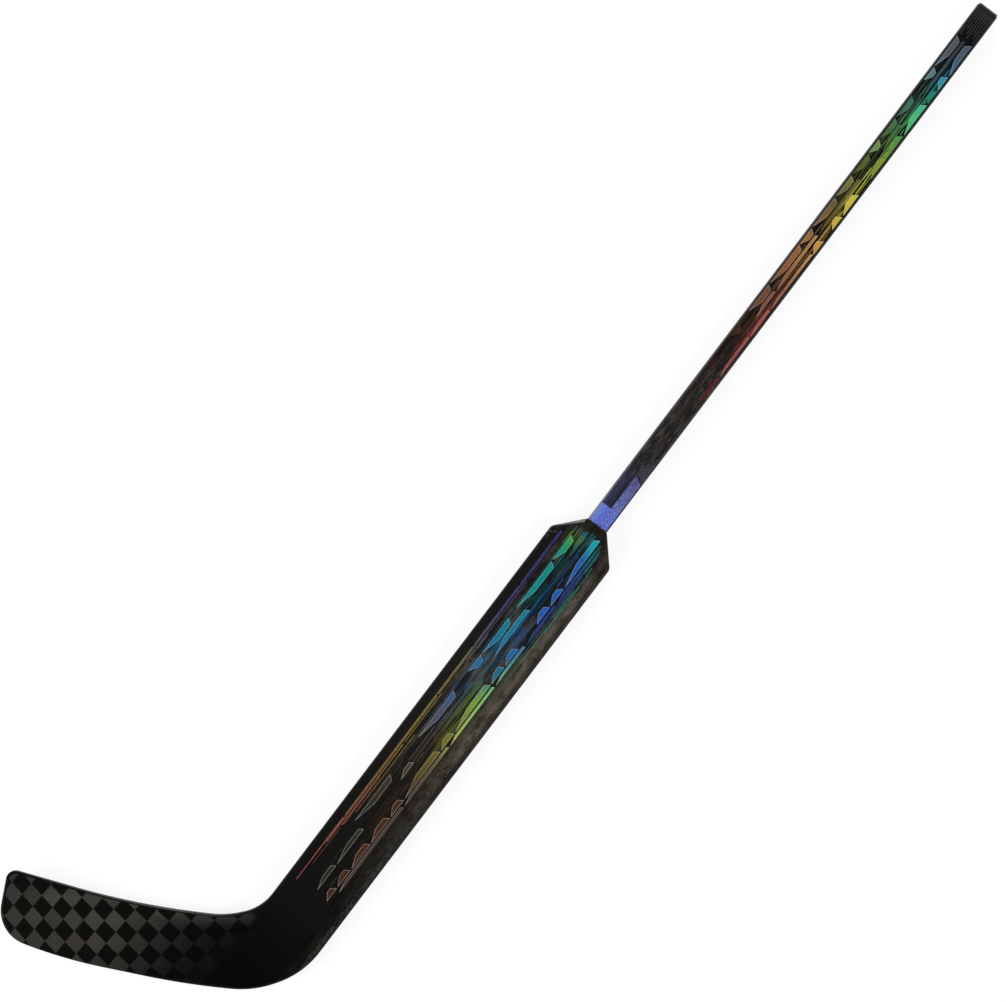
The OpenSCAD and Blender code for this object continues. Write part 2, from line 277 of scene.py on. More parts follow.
def bridge(bm, loop_a, loop_b):
    """Quads between two loops with as many points."""
    return [
        bm.faces.new((loop_a[i - 1], loop_a[i], loop_b[i], loop_b[i - 1]))
        for i in range(len(loop_a))
    ]


def quarter_turn(steps):
    return [pi / 2 * k / steps for k in range(steps + 1)]


def rounded_rect(w, t, r, cut=0, notch=None):
    """Loop (y, z) of a rounded rectangle on the shaft's axis, moved inwards by cut. notch is
    the half width and the depth of a shallow bed in its front and back."""
    w, t, steps = w - 2 * cut, t - 2 * cut, 6
    half, depth = notch or (0.9 * (w / 2 - r), 0)
    loop = []
    for corner, across, up in ((0, 1, 1), (1, -1, 1), (2, -1, -1), (3, 1, -1)):
        cy, cz = across * (w / 2 - r), MID_Z + up * (t / 2 - r)
        for k in range(steps + 1):
            a = pi / 2 * (corner + k / steps)
            loop.append((cy + r * cos(a), cz + r * sin(a)))
        if across == up:
            z, bed = MID_Z + up * t / 2, MID_Z + up * (t / 2 - depth)
            loop += [(up * half, z), (up * half, bed), (-up * half, bed), (-up * half, z)]
    return loop


def loft(bm, sections, closed=False):
    """Skins (x, loop) sections in order. An open row of sections gets end faces."""
    loops = [add_loop(bm, [(x, y, z) for y, z in loop]) for x, loop in sections]
    for a, b in zip(loops, loops[1:]):
        bridge(bm, a, b)
    if closed:
        bridge(bm, loops[-1], loops[0])
    else:
        bm.faces.new(loops[0])
        bm.faces.new(loops[-1])


# ---- Node helper


def shade(*rgb):
    """A colour, or a grey, given as it shows on a screen, from 0 to 255."""
    linear = [c / 255 / 12.92 if c <= 10 else ((c / 255 + 0.055) / 1.055) ** 2.4 for c in rgb]
    return (*(linear * 3)[:3], 1.0)


def feed(tree, socket, value):
    value = getattr(value, "socket", value)
    if isinstance(value, bpy.types.NodeSocket):
        tree.links.new(value, socket)
    else:
        socket.default_value = value


def add_node(tree, kind, inputs=(), **settings):
    """A new node. Its inputs are given in order, or by name or number."""
    made = tree.nodes.new("ShaderNode" + kind)
    for key, value in settings.items():
        setattr(made, key, value)
    for key, value in inputs.items() if isinstance(inputs, dict) else enumerate(inputs):
        feed(tree, made.inputs[key], value)
    return made


def operator(operation):
    """A method that makes one kind of math node."""
    return lambda self, *others: Value(self.tree, "Math", (self, *others), operation=operation)


class Value:
    """A number, place or colour in a node tree, and what can be made of it."""

    def __init__(self, tree, kind, inputs=(), output=0, **settings):
        self.tree = tree
        self.socket = add_node(tree, kind, inputs, **settings).outputs[output]

    __add__ = operator("ADD")
    __sub__ = operator("SUBTRACT")
    __mul__ = operator("MULTIPLY")
    __truediv__ = operator("DIVIDE")
    __mod__ = operator("FLOORED_MODULO")
    __abs__ = operator("ABSOLUTE")
    at_least = operator("MAXIMUM")
    above = operator("GREATER_THAN")
    below = operator("LESS_THAN")
    floor = operator("FLOOR")
    sine = operator("SINE")

    def rise(self, low, high, to_low=0.0, to_high=1.0, path="SMOOTHSTEP"):
        """Climbs from one level to another as this value goes from low to high."""
        inputs = (self, low, high, to_low, to_high)
        return Value(self.tree, "MapRange", inputs, interpolation_type=path)

    def colours(self, *stops):
        """Colours along this value, from stops (value, red, green, blue) or (value, grey)."""
        low, high = stops[0][0], stops[-1][0]
        share = self.rise(low, high, path="LINEAR")
        ramp = Value(self.tree, "ValToRGB", [share])
        elements = ramp.socket.node.color_ramp.elements
        for _ in stops[2:]:
            elements.new(0.5)
        for element, (at, *_) in zip(elements, stops):
            element.position = (at - low) / (high - low)
        for element, (_, *rgb) in zip(elements, stops):
            element.color = shade(*rgb)
        return ramp

    def mix(self, share, other, blend="MIX"):
        """This colour with a share of another, which may be given as (red, green, blue)."""
        other = shade(*other) if isinstance(other, tuple) else other
        inputs = {0: share, 6: self, 7: other}
        return Value(self.tree, "Mix", inputs, 2, data_type="RGBA", blend_type=blend)

    def tinted(self, other):
        return self.mix(1.0, other, "MULTIPLY")


class Graph:
    """The node tree of one material, whose x, y and z are in millimetres."""

    def __init__(self, name):
        self.material = bpy.data.materials.new(name)
        self.material.use_nodes = True
        self.tree = self.material.node_tree
        self.shader = self.tree.nodes["Principled BSDF"]
        self.place = self.value("TexCoord", output="Object")
        self.x, self.y, self.z = (
            self.value("SeparateXYZ", [self.place], axis) / MM for axis in range(3)
        )

    def value(self, *node, **settings):
        return Value(self.tree, *node, **settings)

    def joined(self, x, y, z=0.0):
        return self.value("CombineXYZ", (x, y, z))

    def noise(self, place, detail=3, roughness=0.5, distortion=0.0):
        """Noise at a joined place, or at the mesh's place in metres times (x, y, z), for
        marks that are longer one way."""
        if isinstance(place, tuple):
            place = self.value("VectorMath", (self.place, place), operation="MULTIPLY")
        return self.value("TexNoise", {
            "Vector": place, "Scale": 1.0, "Detail": detail, "Roughness": roughness,
            "Distortion": distortion,
        }, "Fac")

    def dice(self, x, y):
        """A random number for each pair of numbers."""
        return self.value("TexWhiteNoise", {"Vector": self.joined(x, y)}, "Value")

    def own(self, name):
        """A number stored on the mesh."""
        return self.value("Attribute", output="Fac", attribute_name=name)

    def set(self, **inputs):
        """Feeds the shader's inputs, whose names are given with _ for each space."""
        for name, value in inputs.items():
            feed(self.tree, self.shader.inputs[name.replace("_", " ")], value)

    def bump(self, height, depth):
        """Relief: height from 0 to 1 over a depth in millimetres."""
        self.set(Normal=self.value("Bump", {"Distance": depth * MM, "Height": height}))

    def finish(self, colour, roughness, specular=0.5, coat=0.0, coat_roughness=0.1, metal=0.0):
        self.set(Base_Color=colour, Roughness=roughness, Metallic=metal,
                 Specular_IOR_Level=specular, Coat_Weight=coat, Coat_Roughness=coat_roughness)
        return self.material


# ---- Materials

NECK = NECK_X / MM
BUTT = BUTT_X / MM


def fine_grain(g):
    """Short fibres that run along the shaft."""
    return g.noise((260, 1500, 900), 4, 0.65)


def black_laminate(g, grain, *stops):
    """Black of a tone that changes along the stick, with the grain in it."""
    return g.x.colours(*stops).tinted(grain.rise(0.2, 0.8, 0.55, 1.45))


def marbling(g):
    """Forged carbon: chopped tows as chips of different tones, in cloudy patches."""
    wander = g.noise((150, 200, 200), 3, 0.6)
    place = g.joined(g.x * 0.13 + wander * 2.4, g.y * 0.33 + wander * 3, g.z * 0.16)
    chips = g.value("TexVoronoi", {"Vector": place, "Scale": 1.0}, "Color")
    clouds = g.noise((42, 95, 70), 6, 0.7, 0.4).rise(0.32, 0.68)
    fibres = g.noise((420, 900, 500), 3, 0.7).rise(0.3, 0.7)
    return (clouds * 0.42 + chips * 0.28 + fibres * 0.3).rise(0.08, 0.8)


def tow_number(u, v, start, per_u, per_v, bend):
    """Counts the tows of one family from the heel; bend crowds them towards the toe."""
    return u * per_u + v * per_v + start + u * u * bend


def spread_tow(g):
    """(colour, share, relief) of the checker weave, which fades out towards the heel."""
    # Distance along the blade from the heel corner, and height above the sole.
    dx, dy = g.x + PADDLE_LEN / MM, g.y + HALF_W / MM
    u = dx * cos(LIE) + dy * sin(LIE)
    v = dx * sin(LIE) - dy * cos(LIE)
    warp = tow_number(u, v, 17.13, -0.0404, -0.0244, -9.6e-6)
    weft = tow_number(u, v, -6.27, 0.0200, -0.0473, 25.4e-6)
    warp_tow, weft_tow = warp.floor(), weft.floor()
    is_dark = (warp_tow + weft_tow) % 2
    along_weft = g.noise(g.joined(warp * 1.5, weft * 34), 4, 0.7)
    along_warp = g.noise(g.joined(warp * 34, weft * 1.5), 4, 0.7)
    tone = (
        along_weft.rise(0.25, 0.75, 0.8, 1.16) * v.rise(0, 80, 0.92, 1.1)
        * g.dice(warp_tow, weft_tow).rise(0, 1, 0.92, 1.08)
        * g.dice(7, weft_tow).rise(0, 1, 0.92, 1.08)
    )
    # The light squares dim towards the heel and the sole.
    # Near the elbow a painted reflection brightens them and takes the weave nearer the heel.
    reach = u + v * 0.55 + (v - 70).at_least(0) * 3.3
    light = reach.colours(
        (100, 7), (112, 13, 13, 12), (134, 16, 16, 15), (157, 23, 22, 21), (181, 34, 33, 31),
        (203, 44, 42, 39), (226, 52, 51, 47), (250, 60, 57, 53), (337, 61, 59, 54),
        (360, 57, 55, 51), (385, 50, 49, 46),
    ).tinted(tone)
    dark = reach.colours((100, 8), (130, 3), (250, 10, 10, 7))
    dark = dark.tinted(along_warp.rise(0.2, 0.8, 0.6, 1.5))
    # The weave stops short of the outline: far from the top edge, close to the sole.
    inside = g.own("inset") / MM - v.rise(30, 75, 1.2, 3.5)
    heel = g.x.rise(-608, -616).at_least(g.y.rise(40, 46))
    share = reach.rise(96, 106) * inside.rise(-0.3, 0) * g.x.rise(-588, -600) * heel
    return light.mix(is_dark, dark), share, along_weft.mix(is_dark, along_warp)


def blade_look(g):
    """Spread-tow checker inside a black edge band."""
    weave, share, relief = spread_tow(g)
    black = black_laminate(g, fine_grain(g), (-750, 9, 9, 8), (-600, 5))
    return black.mix(share, weave), relief


def forged_tone(g):
    """Forged carbon in its light and dark tones; it darkens towards the heel and towards
    both sides of its band."""
    across = g.y.colours(
        (-43.5, 111.3), (-40.5, 129.1), (-37.5, 212.2), (-34, 255), (-29, 224.6),
        (-22, 187.5), (-18, 187.5), (-8, 224.6),
    )
    light = g.x.colours(
        (-660, 12, 12, 11), (-600, 25, 24, 21), (-520, 30, 29, 26), (-400, 56, 53, 47),
        (-270, 98, 91, 80), (-120, 98, 91, 82), (-30, 96, 88, 78), (-12, 60, 55, 49),
        (35, 58, 52, 47),
    ).tinted(across)
    return light.tinted((89, 89, 84.6)).mix(marbling(g), light)


def paddle_look(g):
    """Black, with forged carbon along the trailing side, in patches near the neck and in
    chips at the leading shoulder, and the blade's weave at the heel."""
    grain = fine_grain(g)
    black = black_laminate(
        g, grain, (-660, 3), (-600, 8), (-550, 16, 16, 15), (-400, 21, 20, 18),
        (-300, 27, 26, 24), (-200, 27, 27, 26), (-120, 23), (0, 22), (30, 16, 16, 15),
    )
    trailing = (g.y + g.x.rise(-150, -110, 0, 7.5)).rise(-19.5, -22)
    patches = g.noise((14, 46, 30), 4, 0.55, 0.4) + g.x.rise(5, 22, 0, 0.1)
    centre = patches.rise(0.45, 0.58) * g.x.rise(-285, -190) * g.y.rise(30, 26) * 0.72
    colour = black.mix(trailing.at_least(centre), forged_tone(g))
    speckle = g.noise((130, 130, 130), 4, 0.6).rise(0.56, 0.68)
    chips = speckle * g.x.rise(-70, -15) * g.y.rise(33, 37) * 0.55
    colour = colour.mix(chips, (82, 80, 76))
    # Painted highlight where the trailing side starts to round off, mottled, near the heel only.
    ridge_highlight = g.y.rise(-35.5, -38) * g.y.rise(-43.5, -41) * g.x.rise(-620, -600) * 0.6
    highlight_mottle = g.noise((200, 320, 200), 4, 0.7).rise(0.35, 0.62) * g.x.rise(-300, -430)
    colour = colour.mix(ridge_highlight * highlight_mottle, (70, 68, 62))
    weave, woven, _ = spread_tow(g)
    return colour.mix(woven, weave), grain


def near_faces(g, thickness):
    """1 on an edge's rounding into the front and the back, 0 halfway between them."""
    face = thickness / 2 / MM
    return abs(g.z - MID_Z / MM).rise(face - 4.5, face - 2.5)


def leading_edge_look(g):
    """The paddle's laminate, with a painted reflection in pale streaks on the shoulder's edge."""
    colour, grain = paddle_look(g)
    across, along = g.x - g.y * 0.84, g.y - g.x * 0.84
    fibres = g.noise(g.joined(across * 0.055, along * 0.9), 4, 0.7)
    within = g.x.rise(4, 32, 1.4, 3.5) - g.own("inset") / MM
    # Painted reflection: a pale strip, streaked along the fibres, on the shoulder's bevelled
    # edge; it widens towards the neck.
    shoulder_reflection = (
        g.x.rise(2, 11) * within.rise(-0.6, 0.5) * fibres.rise(0.36, 0.64, 0.35, 1)
        * near_faces(g, PADDLE_T).rise(0, 1, 0.12, 1)
    )
    return colour.mix(shoulder_reflection, g.x.colours((0, 114, 113, 111), (35, 130, 130, 128))), grain


def paddle_film_look(g):
    """Clear film on the paddle, with dim streaks in the print's colours near the neck."""
    colour, grain = paddle_look(g)
    streaks = g.noise((9, 330, 1), 3, 0.55)
    dim = (
        streaks.rise(0.5, 0.57) * (g.x - streaks * 60).rise(-12, -17) * g.x.rise(-520, -160)
        * g.y.rise(21, 19) * g.y.rise(-16, -14) * 0.34
    )
    return colour.mix(dim, paddle_colours(g, g.x)), grain


PATCH_END = NECK + 27       # upper end of the patch's full width, in millimetres
PATCH_TAIL = NECK + 78      # upper end of its trailing half
PATCH_HALF_W = 12.3
PATCH_MIDDLE = -1
PATCH_SLOPE = 0.6           # how far the tail's end leans for each step across


def shaft_look(g):
    """Black with fine grain, clouded where it is bare of print, and a blue and violet patch
    above the neck."""
    grain = fine_grain(g)
    black = black_laminate(
        g, grain, (40, 30, 30, 32), (250, 30, 28, 27), (320, 20, 19, 18), (500, 13, 13, 12),
        (700, 10), (796, 14, 14, 15), (812, 34, 34, 35),
    )
    weave = g.noise((70, 260, 60), 4, 0.65, 0.5)
    up = g.x - NECK
    clouded = up.rise(50, 80) * up.rise(280, 210) * weave.rise(0.4, 0.7) * 0.8
    navy = up.rise(105, 50) * g.y.rise(0, 9, 0.25, 1) * weave.rise(0.3, 0.6, 0.3, 1) * 0.9
    # Painted highlight: a pale line along the leading edge where it rounds into the front and
    # back.
    edge_highlight = g.y.rise(11.2, 13.4) * weave.rise(0.2, 0.6, 0.5, 1) * near_faces(g, SHAFT_T)
    colour = black.mix(clouded, (72, 67, 63)).mix(navy, (58, 60, 94)).mix(edge_highlight, g.x.colours(
        (40, 136, 138, 156), (90, 104, 102, 104), (180, 78, 76, 76), (360, 86, 78, 74),
        (800, 58, 62, 66),
    ))
    wander = g.noise((200, 260, 50), 4, 0.75, 0.6)
    blue = g.y.colours(
        (-12, 90, 116, 200), (-9, 92, 112, 196), (-6, 98, 98, 170), (-1, 84, 98, 186),
        (3, 80, 106, 202), (7, 90, 126, 214), (12, 110, 138, 204),
    ).mix(wander.rise(0.38, 0.62, 0, 0.5), (122, 112, 208))
    violet = wander.rise(0.4, 0.6).colours((0, 78, 92, 168), (1, 126, 116, 158))
    fleck = g.noise((420, 520, 50), 3, 0.6)
    patch = blue.mix(g.x.rise(PATCH_END - 4, PATCH_END + 8), violet)
    patch = patch.mix(fleck.rise(0.53, 0.64, 0, 0.7), (112, 168, 228))
    patch = patch.mix(fleck.rise(0.47, 0.36, 0, 0.7), (84, 70, 150))
    patch = patch.tinted(g.x.colours((PATCH_END, 255), (PATCH_TAIL, 206.4, 200.4, 190.8)))
    tail = g.y.below(PATCH_MIDDLE) * g.x.below(g.y * PATCH_SLOPE + PATCH_TAIL)
    on_face = abs(g.y).below(PATCH_HALF_W)
    above_bead = g.x.above(BEAD_X / MM)
    share = g.x.below(PATCH_END).at_least(tail) * on_face * above_bead
    return colour.mix(share, patch), grain


def shaft_film_look(g):
    """Film on the shaft: faint stripes in the print's own colours behind its bars."""
    colour, grain = shaft_look(g)
    stripes = g.noise((16, 520, 1), 3, 0.6).rise(0.5, 0.56) * g.y.rise(2, -3, 0.2, 0.5)
    ends = g.x.rise(NECK + 230, NECK + 300) * g.x.rise(BUTT - 70, BUTT - 130)
    return colour.mix(stripes * ends, shaft_colours(g, g.x)), grain


def paddle_colours(g, x):
    """Colours of the paddle's print: one run of colours for each lane across it."""
    top = x.colours(
        (-530, 172, 74, 108), (-465, 194, 112, 100), (-365, 178, 134, 84), (-295, 178, 156, 66),
        (-200, 170, 152, 98), (-155, 122, 114, 142), (-100, 88, 80, 152), (10, 70, 70, 168),
    )
    upper = x.colours(
        (-505, 38, 84, 62), (-435, 62, 86, 70), (-375, 98, 88, 68), (-295, 112, 102, 96),
        (-235, 66, 98, 146), (-155, 24, 126, 164), (-105, 16, 142, 152), (-25, 16, 152, 136),
        (-5, 40, 166, 92), (10, 140, 178, 56), (22, 24, 132, 168),
    )
    lower = x.colours(
        (-525, 118, 70, 62), (-435, 128, 80, 52), (-365, 120, 82, 46), (-295, 146, 134, 56),
        (-225, 128, 172, 64), (-185, 38, 118, 144), (-155, 34, 108, 172), (-85, 36, 98, 190),
        (-15, 34, 104, 182), (14, 20, 172, 184),
    )
    bottom = x.colours(
        (-525, 120, 80, 72), (-365, 98, 74, 58), (-305, 128, 116, 60), (-270, 186, 204, 84),
        (-215, 130, 204, 104), (-150, 30, 136, 156), (-105, 56, 104, 200), (-45, 56, 96, 196),
        (-5, 16, 160, 166), (20, 16, 124, 98),
    )
    edge = x.colours(
        (-350, 130, 96, 72), (-250, 150, 132, 66), (-190, 120, 160, 78), (-100, 34, 150, 120),
        (0, 34, 140, 108),
    )
    inner = lower.mix(g.y.rise(-7, 12), upper).mix(g.y.rise(-15, -16.2), bottom)
    return inner.mix(g.y.rise(-23.9, -24.3), edge).mix(g.y.rise(21.5, 23), top)


def shaft_colours(g, x):
    """Colours of the shaft's print, on its leading and on its trailing half."""
    leading = x.colours(
        (60, 70, 70, 150), (110, 78, 76, 100), (140, 64, 60, 62), (215, 84, 62, 58),
        (265, 98, 58, 50), (320, 126, 74, 52), (380, 122, 76, 52), (430, 156, 98, 58),
        (470, 166, 116, 58), (515, 108, 94, 54), (575, 128, 142, 62), (635, 104, 160, 98),
        (675, 96, 160, 136), (715, 92, 130, 142), (740, 88, 94, 98), (790, 84, 84, 90),
    )
    trailing = x.colours(
        (60, 124, 118, 196), (120, 150, 146, 168), (150, 70, 60, 62), (205, 110, 50, 56),
        (240, 166, 48, 56), (320, 166, 70, 66), (400, 162, 88, 62), (455, 206, 152, 72),
        (530, 212, 196, 70), (590, 174, 206, 86), (640, 86, 204, 108), (690, 60, 184, 156),
        (720, 54, 146, 176), (745, 70, 96, 116), (790, 84, 84, 90),
    )
    return trailing.mix(g.y.rise(-4, 3), leading)


def carbon(name, look, relief_depth=0.03):
    """Glossy laminate or film. look(g) gives its colour and its relief."""
    g = Graph(name)
    colour, relief = look(g)
    g.bump(relief, relief_depth)
    return g.finish(colour, 0.32, specular=0.1, coat=0.02)


def foil(name, colours, dim_x, full_x, dim):
    """Iridescent print: the hue drifts along the stick, with fine diagonal engraving.
    colours(g, x) gives the colour at a place whose x has been made to wander. Inside their
    rims the bars climb from the level dim to full strength between dim_x and full_x."""
    g = Graph(name)
    drift = g.noise((26, 120, 10), 3, 0.6)
    colour = colours(g, g.x + (drift - 0.5) * 46)
    hatch = ((g.x + g.y * 0.55) * (2 * pi / 1.3)).sine()
    level = g.noise((300, 500, 50), 3, 0.7).rise(0.25, 0.75, 0.7, 1.1) + hatch * 0.08
    fill = g.x.rise(dim_x, full_x, dim, 1).at_least(g.y.rise(21.4, 23))
    rim = colour.mix(0.25, (214, 224, 220))
    printed = colour.tinted(level * fill).mix(g.own("rim"), rim).tinted(g.own("tone"))
    return g.finish(printed, 0.3, 0.25, 0.12, 0.08, metal=0.1)


def rubber():
    g = Graph("plug_rubber")
    wide = g.noise((120, 120, 120))
    g.bump(g.noise((900, 900, 900), 4, 0.6), 0.08)
    return g.finish(wide.colours((0, 48, 48, 49), (1, 60)), wide.rise(0.2, 0.8, 0.55, 0.72), 0.35)


def adhesive():
    g = Graph("neck_adhesive")
    lumps = g.noise((300, 160, 160))
    g.bump(lumps, 0.25)
    return g.finish(lumps.colours((0, 8), (1, 22, 20, 19)), 0.28, 0.45)


def foam(name, light, dark, cell):
    """Rigid foam: small closed cells with darker walls and a dusty surface."""
    g = Graph(name)
    inputs = {"Vector": g.place, "Scale": 1 / (cell * MM)}
    cells = g.value("TexVoronoi", inputs, "Distance", feature="DISTANCE_TO_EDGE")
    wall = cells.rise(0.02, 0.16)
    share = g.noise((40, 40, 40), 4, 0.6)
    g.bump(wall, 0.3)
    tone = share.colours((0, *light), (1, *dark))
    return g.finish(tone.mix(wall * -0.75 + 1, dark), 0.9, 0.2)


def bare_laminate():
    """Laminate straight from the mould: a fine twill with dry peel-ply texture."""
    g = Graph("bare_laminate")
    a = ((g.x + g.y) * (2 * pi / 2.4)).sine()
    b = ((g.x - g.y) * (2 * pi / 1.2)).sine()
    twill = (a * b).rise(-0.4, 0.4)
    g.bump(twill, 0.05)
    colour = twill.colours((0, 18), (1, 40, 39, 38)).mix(fine_grain(g) * 0.4, (60, 58, 56))
    return g.finish(colour, 0.6, 0.3)


PADDLE_LAMINATE = carbon("paddle_laminate", paddle_look)
LEADING_LAMINATE = carbon("leading_edge", leading_edge_look)
FORGED_LAMINATE = carbon("forged_laminate", paddle_look)
BLADE_WEAVE = carbon("blade_weave", blade_look, 0.02)
BLADE_EDGE = carbon("blade_edge", blade_look, 0.02)
SHAFT_LAMINATE = carbon("shaft_laminate", shaft_look)
PADDLE_FILM = carbon("paddle_film", paddle_film_look, 0.01)
SHAFT_FILM = carbon("shaft_film", shaft_film_look, 0.01)
PADDLE_FOIL = foil("paddle_foil", paddle_colours, -400, -200, 0.36)
SHAFT_FOIL = foil("shaft_foil", shaft_colours, 200, 340, 0.6)
CORE_FOAM = foam("core_foam", (222, 208, 172), (172, 152, 112), 1.1)
HEEL_FOAM = foam("heel_foam", (176, 160, 126), (126, 110, 80), 0.6)
BARE_LAMINATE = bare_laminate()

# ---- Edge rails and wraps


def edge_section():
    """Section of a rail or wrap as (inset, share of the height), from back to front."""
    quarter, share = quarter_turn(10), EDGE_R / PADDLE_T
    low = [(EDGE_R * (1 - sin(a)), share * (1 - cos(a))) for a in quarter]
    high = [(EDGE_R * (1 - cos(a)), 1 - share * (1 - sin(a))) for a in quarter]
    return low + high + [(RAIL_W, 1.0), (RAIL_W, 0.0)]


EDGE_SECTION = edge_section()
EDGE_LOOPS = outlines(*(inset for inset, _ in EDGE_SECTION))


def edge_piece(name, first, last, material, node):
    """The edge section swept along the outline between two of its points."""
    bm = bmesh.new()
    depth = bm.verts.layers.float.new("inset")
    rings = []
    for i in range(first, last + 1):
        ring = []
        for (inset, share), loop in zip(EDGE_SECTION, EDGE_LOOPS):
            p = loop[i]
            back, front = blade_heights(blade_u(p) if TOP_SEAM <= i <= SOLE_SEAM else 0)
            vert = bm.verts.new((*p, back + share * (front - back)))
            vert[depth] = inset
            ring.append(vert)
        rings.append(ring)
    for a, b in zip(rings, rings[1:]):
        bridge(bm, a, b)
    bm.faces.new(rings[0])
    bm.faces.new(rings[-1])
    make_piece(name, bm, material, [node])


edge_piece("paddle_leading_edge", 0, TOP_SEAM, LEADING_LAMINATE,
           "paddle_leading_rail")
edge_piece("paddle_trailing_edge", SOLE_SEAM, len(EDGE_LINE) - 1, FORGED_LAMINATE,
           "paddle_trailing_rail")
edge_piece("blade_top_edge", TOP_SEAM, TOE_SEAM, BLADE_EDGE, "blade_top_wrap")
edge_piece("blade_sole_edge", TOE_SEAM, SOLE_SEAM, BLADE_EDGE, "blade_sole_wrap")

# ---- Flat faces and films


def paddle_outline():
    """The paddle's face inside its rails, cut off at the seam with the blade."""
    first, last = blade_ends(INNER_LINE)

    def seam_point(i):
        a, b = INNER_LINE[i], INNER_LINE[i + 1]
        return a.lerp(b, (SEAM_U - blade_u(a)) / (blade_u(b) - blade_u(a)))

    return [CORNERS[0][0], *INNER_LINE[:first], seam_point(first - 1), seam_point(last),
            *INNER_LINE[last + 1:], CORNERS[LAST][0]]


def film_outline():
    """The paddle's film: a rectangle with its two corners at the shoulders cut off."""
    low, high = PADDLE_FILM_LOW, PADDLE_FILM_HIGH
    along = direction(0)
    line = CORNERS[0][0] + left_of(along) * (RAIL_W + BOND + 0.3 * MM)

    def cut_corner(reach):
        return (crossing(line, along, Vector((high.x, 0)), Vector((0, 1))),
                crossing(line, along, Vector((0, reach)), Vector((1, 0))))

    lead_end, lead_side = cut_corner(high.y)
    trail_end, trail_side = (Vector((p[0], -p[1])) for p in cut_corner(-low.y))
    return [low.xy, trail_side, trail_end, lead_end, lead_side, Vector((low.x, high.y))]


def add_flat(bm, outer, holes, z, known):
    """A flat face at z, cut into triangles round its holes. known holds the points."""
    loops = [[Vector((*p, z)) for p in loop] for loop in (outer, *holes)]
    verts = []
    for p in sum(loops, []):
        key = tuple(round(c, 8) for c in p)
        if key not in known:
            known[key] = bm.verts.new(p)
        verts.append(known[key])
    for triangle in tessellate_polygon(loops):
        bm.faces.new([verts[i] for i in triangle])
    return verts


def plate(name, outline, face_z, up, thickness, material, node, bed=()):
    """A flat plate whose outer face lies at face_z and looks up (1) or down (-1). bed is the
    outline of a film's bed in that face."""
    bm, known = bmesh.new(), {}
    rim = add_flat(bm, outline, [bed] if bed else [], face_z, known)
    bridge(bm, rim[:len(outline)], add_flat(bm, outline, [], face_z - up * thickness, known))
    if bed:
        floor = add_flat(bm, bed, [], face_z - up * FILM_T, known)
        bridge(bm, rim[len(outline):], floor)
    mark_inside(bm)
    make_piece(name, bm, material, [node])


FACE_OUTLINE, FILM_OUTLINE = paddle_outline(), film_outline()
SHAFT_OUTLINE = [
    SHAFT_FILM_LOW.xy, Vector((SHAFT_FILM_HIGH.x, SHAFT_FILM_LOW.y)),
    SHAFT_FILM_HIGH.xy, Vector((SHAFT_FILM_LOW.x, SHAFT_FILM_HIGH.y)),
]
# (name, up or down, height of the paddle's face, height of the shaft's film)
SIDES = (("front", 1, PADDLE_T, SHAFT_FILM_HIGH.z), ("back", -1, 0.0, TUBE_LOW.z))
for side, up, paddle_z, shaft_z in SIDES:
    plate(f"paddle_{side}_face", FACE_OUTLINE, paddle_z, up, SKIN_T, PADDLE_LAMINATE,
          f"paddle_{side}_skin", FILM_OUTLINE)
    plate(f"paddle_{side}_print", FILM_OUTLINE, paddle_z, up, FILM_T, PADDLE_FILM,
          f"paddle_{side}_film")
    plate(f"shaft_{side}_print", SHAFT_OUTLINE, shaft_z, up, FILM_T, SHAFT_FILM,
          f"shaft_{side}_film")

# ---- Blade's faces

BLADE_COLUMNS = 72
BLADE_ROWS = 14


def blade_limits():
    """A function of u that gives the lowest and highest v of the blade's face, and its tip."""
    line = [(blade_u(p), blade_v(p)) for p in INNER_LINE]
    tip = max(u for u, _ in line)
    at_tip = [i for i, (u, _) in enumerate(line) if u > tip - 0.001 * MM]
    top, sole = line[:at_tip[0] + 1], line[:at_tip[-1] - 1:-1]

    def read(chain, u):
        for (u0, v0), (u1, v1) in zip(chain, chain[1:]):
            if u0 <= u <= u1 and u1 > u0:
                return v0 + (v1 - v0) * (u - u0) / (u1 - u0)
        return chain[-1][1]

    return lambda u: (read(sole, u), read(top, u)), tip


def blade_face(side, up):
    """The blade's curved skin on one side."""
    limits, tip = blade_limits()
    bm, rims = bmesh.new(), []
    for sunk in (0, BLADE_SKIN_T):
        rows = []
        for i in range(BLADE_COLUMNS + 1):
            u = SEAM_U + (tip - SEAM_U) * sin(pi / 2 * i / BLADE_COLUMNS)
            v0, v1 = limits(min(u, tip - 0.0001 * MM))
            z = blade_heights(u)[max(up, 0)] - up * sunk
            rows.append(add_loop(bm, [
                (*blade_point(u, v0 + (v1 - v0) * j / BLADE_ROWS), z)
                for j in range(BLADE_ROWS + 1)
            ]))
        for a, b in zip(rows, rows[1:]):
            for j in range(BLADE_ROWS):
                bm.faces.new((a[j], a[j + 1], b[j + 1], b[j]))
        rims.append(
            [column[0] for column in rows] + rows[-1][1:]
            + [column[-1] for column in rows[-2::-1]] + rows[0][-2:0:-1]
        )
    bridge(bm, *rims)
    mark_inside(bm)
    make_piece(f"blade_{side}_face", bm, BLADE_WEAVE, [f"blade_{side}_skin"])


for side, up, *_ in SIDES:
    blade_face(side, up)

# ---- Shaft, neck bead and end plug

END_BEVEL = 0.3 * MM


